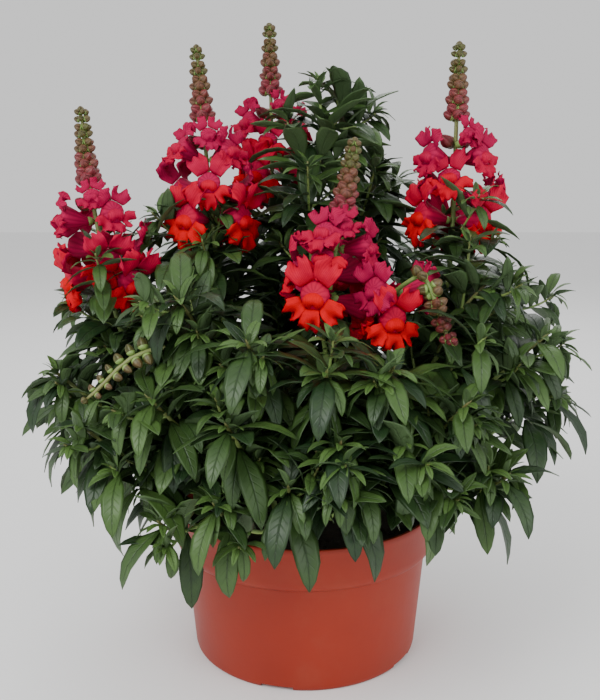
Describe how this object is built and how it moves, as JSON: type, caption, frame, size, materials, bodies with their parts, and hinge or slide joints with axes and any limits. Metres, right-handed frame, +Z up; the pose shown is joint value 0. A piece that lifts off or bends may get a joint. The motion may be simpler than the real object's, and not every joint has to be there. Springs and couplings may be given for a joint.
{
  "type": "potted snapdragon plant",
  "caption": "Bushy snapdragon with red flower spikes and lanceolate leaves, in soil in a low round pot with a banded rim.",
  "frame": {"origin": "centre of the pot's underside, on the surface that the pot stands on", "axes": "+Z up along the pot's axis, -Y towards the side that the picture shows, +X to the right in it"},
  "size_m": [0.4173, 0.3852, 0.476],
  "materials": {
    "pot_plastic": "satin terracotta-coloured plastic",
    "soil": "dark crumbly peat",
    "leaf_green": "deep green, softly glossy",
    "young_green": "pale young green",
    "bloom_red": "velvety scarlet petals"
  },
  "bodies": {
    "root": {"pot": "pot_plastic", "soil": "soil", "flower_head_back": "bloom_red", "flower_head_drooping": "bloom_red", "flower_head_front": "bloom_red", "flower_head_left": "bloom_red", "flower_head_left_centre": "bloom_red", "flower_head_right": "bloom_red", "flower_stem_back": "leaf_green", "flower_stem_drooping": "leaf_green", "flower_stem_front": "leaf_green", "flower_stem_left": "leaf_green", "flower_stem_left_centre": "leaf_green", "flower_stem_right": "leaf_green", "leafy_stem_back": "leaf_green", "leafy_stem_back_left": "leaf_green", "leafy_stem_back_right": "leaf_green", "leafy_stem_front_centre": "leaf_green", "leafy_stem_front_centre_left": "leaf_green", "leafy_stem_front_left": "leaf_green", "leafy_stem_front_left_centre": "leaf_green", "leafy_stem_front_right": "leaf_green", "leafy_stem_front_right_centre": "leaf_green", "leafy_stem_left": "leaf_green", "leafy_stem_left_top": "leaf_green", "leafy_stem_right": "leaf_green", "leafy_stem_right_back": "leaf_green", "leafy_stem_right_top": "leaf_green", "leafy_stem_top": "leaf_green", "young_raceme": "young_green"}
  },
  "joints": []
}
